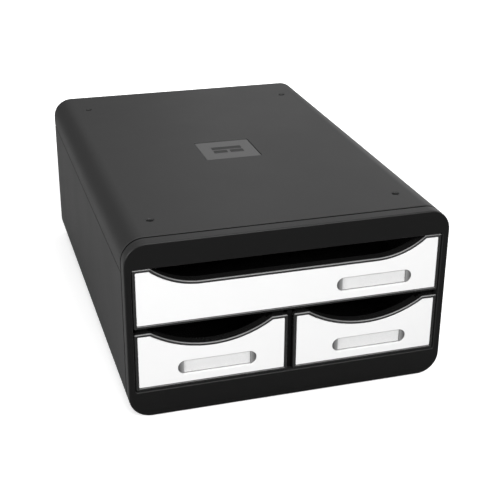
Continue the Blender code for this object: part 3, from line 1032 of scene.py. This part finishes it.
def add(tree, kind, settings=None, inputs=None):
    """Adds a node. An input is a value, or (node, output name) for a link."""
    made = tree.nodes.new(kind)
    for key, value in (settings or {}).items():
        setattr(made, key, value)
    for key, value in (inputs or {}).items():
        socket = pick(made.inputs, key)
        if isinstance(value, tuple) and isinstance(value[0], bpy.types.Node):
            tree.links.new(pick(value[0].outputs, value[1]), socket)
        else:
            socket.default_value = value
    return made


def end_tree(tree, made, output, material):
    """Makes instances real, sets the material and leads to the output."""
    real = add(tree, "GeometryNodeRealizeInstances", None, {"Geometry": (made, output)})
    inputs = {"Geometry": (real, "Geometry"), "Material": material}
    painted = add(tree, "GeometryNodeSetMaterial", None, inputs)
    add(tree, "NodeGroupOutput", None, {"Geometry": (painted, "Geometry")})


def run_tree(obj, tree, values):
    """Runs a tree on an object with its inputs set by identifier, and keeps the mesh that it makes."""
    modifier = obj.modifiers.new(tree.name, "NODES")
    modifier.node_group = tree
    for item in tree.interface.items_tree:
        if item.item_type == "SOCKET" and item.in_out == "INPUT" and item.name in values:
            modifier[item.identifier] = values[item.name]
    settle(obj)


feet_tree = new_tree("set out feet", {"Spacing X": 0.1, "Spacing Y": 0.1})
given = add(feet_tree, "NodeGroupInput")
corners_of = add(
    feet_tree, "GeometryNodeMeshGrid", None,
    {"Size X": (given, "Spacing X"), "Size Y": (given, "Spacing Y"), "Vertices X": 2, "Vertices Y": 2},
)
copies = add(
    feet_tree, "GeometryNodeInstanceOnPoints", None,
    {"Points": (corners_of, "Mesh"), "Instance": (given, "Geometry")},
)
end_tree(feet_tree, copies, "Instances", rubber)
foot_x = abs(foot_low.x + foot_high.x)
foot_y = abs(foot_low.y + foot_high.y)
run_tree(foot_seed, feet_tree, {"Spacing X": foot_x, "Spacing Y": foot_y})
foot_seed.name = "feet"
finish_piece(foot_seed, rubber, "casing", feet)

# %% [markdown]
# ## A drawer's front
#
# The front's outline is a rectangle with a scoop for the fingers. On the wide drawer the scoop is flat with
# an arc at each end. On a narrow one the two arcs meet. Drawing the outline in keeps every arc round: only
# its radius grows, so the same function gives the tray's edge, the pocket and the white panel.

# %% Outline with a scoop
FRONT_STEPS = 28


def front_outline(half, height, scoop, drawn_in):
    """A front's outline with its scoop, drawn in by some distance. It stands on zero."""
    flat_half, radius = scoop
    radius += drawn_in
    high = height - drawn_in
    low = height - SCOOP_DEPTH - drawn_in
    reach = math.degrees(math.acos(1 - SCOOP_DEPTH / radius))
    curve = arc(flat_half, low + radius, radius, -90 + reach, -90, FRONT_STEPS)
    points = [(half - drawn_in, drawn_in), (half - drawn_in, high)] + curve
    return points + [(-x, z) for x, z in reversed(points if flat_half else points[:-1])]


def moved(points, x, z):
    """The outline moved sideways and up."""
    return [(px + x, pz + z) for px, pz in points]


wide = front_outline(119.4 * MM, 47.3 * MM, WIDE_SCOOP, 0)
print("wide front outline has", len(wide), "points")

# %% [markdown]
# ## The scoop's lip
#
# Behind the scoop the tray's edge is folded back into a rounded lip, so that it is pleasant to pull. It
# follows the scoop's curve from end to end. That is a sweep: Geometry Nodes turn the path into a curve and
# run a small rounded rectangle along it. The tree's inputs are the lip's depth, thickness and edge radius.

# %% Sweep a lip along a path
LIP_DEEP = 5.0 * MM
LIP_THICK = 1.8 * MM
LIP_DROP = 0.15 * MM
LIP_SHORTER = 3
LIP_ROUND = 0.6 * MM

lip_tree = new_tree("sweep lip", {"Depth": 0.005, "Thickness": 0.002, "Edge radius": 0.0005})
given = add(lip_tree, "NodeGroupInput")
path = add(lip_tree, "GeometryNodeMeshToCurve", None, {"Mesh": (given, "Geometry")})
steady = add(lip_tree, "GeometryNodeSetCurveNormal", {"mode": "Z_UP"}, {"Curve": (path, "Curve")})
section = add(
    lip_tree, "GeometryNodeCurvePrimitiveQuadrilateral", None,
    {"Width": (given, "Depth"), "Height": (given, "Thickness")},
)
softened = add(
    lip_tree, "GeometryNodeFilletCurve", {"mode": "POLY"},
    {"Curve": (section, "Curve"), "Radius": (given, "Edge radius"), "Count": 4},
)
swept = add(
    lip_tree, "GeometryNodeCurveToMesh", None,
    {"Curve": (steady, "Curve"), "Profile Curve": (softened, "Curve"), "Fill Caps": True},
)
end_tree(lip_tree, swept, "Mesh", tray_plastic)
print("lip tree has", len(lip_tree.nodes), "nodes")


def scoop_lip(centre, low_z, height, scoop, near):
    """The swept lip of one drawer, just under the edge of its scoop."""
    flat_half, radius = scoop
    bottom_z = low_z + height - SCOOP_DEPTH
    reach = math.degrees(math.acos(1 - SCOOP_DEPTH / radius)) - LIP_SHORTER
    middle_radius = radius + LIP_DROP + LIP_THICK / 2
    curve = arc(flat_half, bottom_z + radius, middle_radius, -90 + reach, -90, FRONT_STEPS)
    line = curve + [(-x, z) for x, z in reversed(curve if flat_half else curve[:-1])]
    shape = bmesh.new()
    points = [shape.verts.new((centre + x, near + LIP_DEEP / 2, z)) for x, z in line]
    for pair in zip(points, points[1:]):
        shape.edges.new(pair)
    lip = to_object("lip", shape)
    run_tree(lip, lip_tree, {"Depth": LIP_DEEP, "Thickness": LIP_THICK, "Edge radius": LIP_ROUND})
    return lip


# %% [markdown]
# ## Trays
#
# Each tray is one moulding: the plate with its rim, the pocket that the white panel drops into, the lip and
# the open tub behind. The plate's outer edge is rounded like the bezel's opening, and the pocket's edge is
# rounded too, which gives the thin light line between the rim and the panel.

# %% Make the trays
FRONT_CORNER = 1.3 * MM
FRONT_ROUND = 1.0 * MM
FRONT_BACK_ROUND = 0.4 * MM
TUB_RIM_ROUND = 0.6 * MM
TUB_MOUTH = 0.5 * MM
PANEL_POCKET_CORNER = 0.9 * MM
PANEL_POCKET_FLARE = 0.45 * MM


def tub_plan(half, near, far, radius):
    """Plan of a tub: square at the front, round at the two back corners."""
    points = [(half, near)] + arc(half - radius, far - radius, radius, 0, 90, 8)
    return mirrored(points)


def make_tray(side, scoop):
    """One tray: the plate, the tub and the lip joined, and the pocket cut."""
    low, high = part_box(f"{side}_tray")
    centre = (low.x + high.x) / 2
    half = (high.x - low.x) / 2
    height = high.z - low.z
    face = moved(fillet(front_outline(half, height, scoop, 0), FRONT_CORNER), centre, low.z)
    face_back = low.y + FRONT_THICK
    tray = to_object(
        f"{side}_drawer_tray", drawn_out(face, low.y, face_back, "Y", FRONT_ROUND, FRONT_BACK_ROUND)
    )
    tub_half = half - TUB_INSET
    near = low.y + FRONT_THICK - SINK
    plan = moved(tub_plan(tub_half, near, high.y, TUB_CORNER), centre, 0)
    tub_low = low.z + TUB_RISE
    tub_high = tub_low + TUB_HEIGHT
    tub = to_object("tub", drawn_out(plan, tub_low, tub_high, "Z", 0.0, TUB_RIM_ROUND))
    inside = tub_plan(tub_half - TUB_WALL, low.y - WALL, high.y - TUB_WALL, TUB_CORNER - TUB_WALL)
    cut(tub, flared(moved(inside, centre, 0), tub_high, tub_low + TUB_WALL, "Z", TUB_MOUTH))
    join(tray, tub)
    join(tray, scoop_lip(centre, low.z, height, scoop, near))
    pocket = fillet(front_outline(half, height, scoop, RIM), PANEL_POCKET_CORNER)
    pocket = moved(pocket, centre, low.z)
    cut(tray, flared(pocket, low.y, low.y + PANEL_DEPTH, "Y", PANEL_POCKET_FLARE))
    finish_piece(tray, tray_plastic, f"{side}_drawer", [f"{side}_tray"])


for side, scoop in drawers.items():
    make_tray(side, scoop)

# %% [markdown]
# ## White panels
#
# A white panel follows its pocket with a hair of clearance. A pill-shaped hole shows the label.

# %% Make the white panels
PANEL_CORNER = 0.7 * MM
PANEL_ROUND = 0.4 * MM
PANEL_BACK_ROUND = 0.2 * MM
HOLE_FLARE = 0.35 * MM


def pill(centre_x, centre_z, half, radius, steps=18):
    """A bar with round ends."""
    points = arc(centre_x + half - radius, centre_z, radius, -90, 90, steps)
    return points + arc(centre_x - half + radius, centre_z, radius, 90, 270, steps)


def make_front(side, scoop):
    """One white panel, with the hole for its label."""
    low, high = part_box(f"{side}_front")
    tray_low, tray_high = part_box(f"{side}_tray")
    window_low, window_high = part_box(f"{side}_window")
    centre = (tray_low.x + tray_high.x) / 2
    half = (tray_high.x - tray_low.x) / 2
    height = tray_high.z - tray_low.z
    outline = front_outline(half, height, scoop, RIM + GAP)
    outline = moved(fillet(outline, PANEL_CORNER), centre, tray_low.z)
    solid = drawn_out(outline, low.y, high.y, "Y", PANEL_ROUND, PANEL_BACK_ROUND)
    panel = to_object(f"{side}_white_front", solid)
    label = (window_low + window_high) / 2
    hole_half = (window_high.x - window_low.x) / 2 + GAP
    hole_radius = (window_high.z - window_low.z) / 2 + GAP
    hole = pill(label.x, label.z, hole_half, hole_radius)
    cut(panel, flared(hole, low.y, high.y + WALL, "Y", HOLE_FLARE))
    finish_piece(panel, front_white, f"{side}_drawer", [f"{side}_front"])


for side, scoop in drawers.items():
    make_front(side, scoop)

# %% [markdown]
# ## Windows and cards
#
# The window fills the hole. Its middle is clear over the card, and its two ends are frosted. The mesh is
# cut where the card ends, and an attribute rises from there to the tips, which the material reads: it frosts
# the ends and paints them darker towards the tips, as painted shade.

# %% Make the windows
WINDOW_ROUND = 0.3 * MM
WINDOW_BACK_ROUND = 0.1 * MM


def make_window(side):
    """One clear window, with the attribute that frosts its ends and paints them darker towards the tips as
    shade.
    """
    low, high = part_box(f"{side}_window")
    card_low, card_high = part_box(f"{side}_card")
    middle = (low + high) / 2
    outline = pill(middle.x, middle.z, (high.x - low.x) / 2, (high.z - low.z) / 2)
    shape = drawn_out(outline, low.y, high.y, "Y", WINDOW_ROUND, WINDOW_BACK_ROUND)
    for x in (card_low.x, card_high.x):
        geometry = shape.verts[:] + shape.edges[:] + shape.faces[:]
        bmesh.ops.bisect_plane(shape, geom=geometry, plane_co=(x, 0, 0), plane_no=(1, 0, 0))
    window = to_object(f"{side}_label_window", shape)
    frost_and_shade = window.data.attributes.new("frost_and_shade", "FLOAT", "POINT")
    card_half = (card_high.x - card_low.x) / 2
    tip = (high.x - low.x) / 2 - card_half
    for vertex, value in zip(window.data.vertices, frost_and_shade.data):
        past = abs(vertex.co.x - middle.x) - card_half
        value.value = max(0.0, min(1.0, past / tip))
    finish_piece(window, window_clear, f"{side}_drawer", [f"{side}_window"])


for side in drawers:
    make_window(side)

# %% Finishes for the parts that keep their shape
carried = {
    # The shelves and the divider take the near-black plastic that is darkened as painted shade.
    "lower_shelf": inner_plastic_darkened_as_shade,
    "middle_shelf": inner_plastic_darkened_as_shade,
    "lower_divider": inner_plastic_darkened_as_shade,
}
for side in drawers:
    carried[f"{side}_card"] = paper
    carried[f"{side}_drawer_left_stop"] = stop_plastic
    carried[f"{side}_drawer_right_stop"] = stop_plastic
for name, material in carried.items():
    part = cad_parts[name]
    part.data.materials.clear()
    part.data.materials.append(material)
print("carried over", len(carried), "parts")

# %% The visual box
low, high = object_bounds()
print("visual box", [round(v, 4) for v in low], [round(v, 4) for v in high])
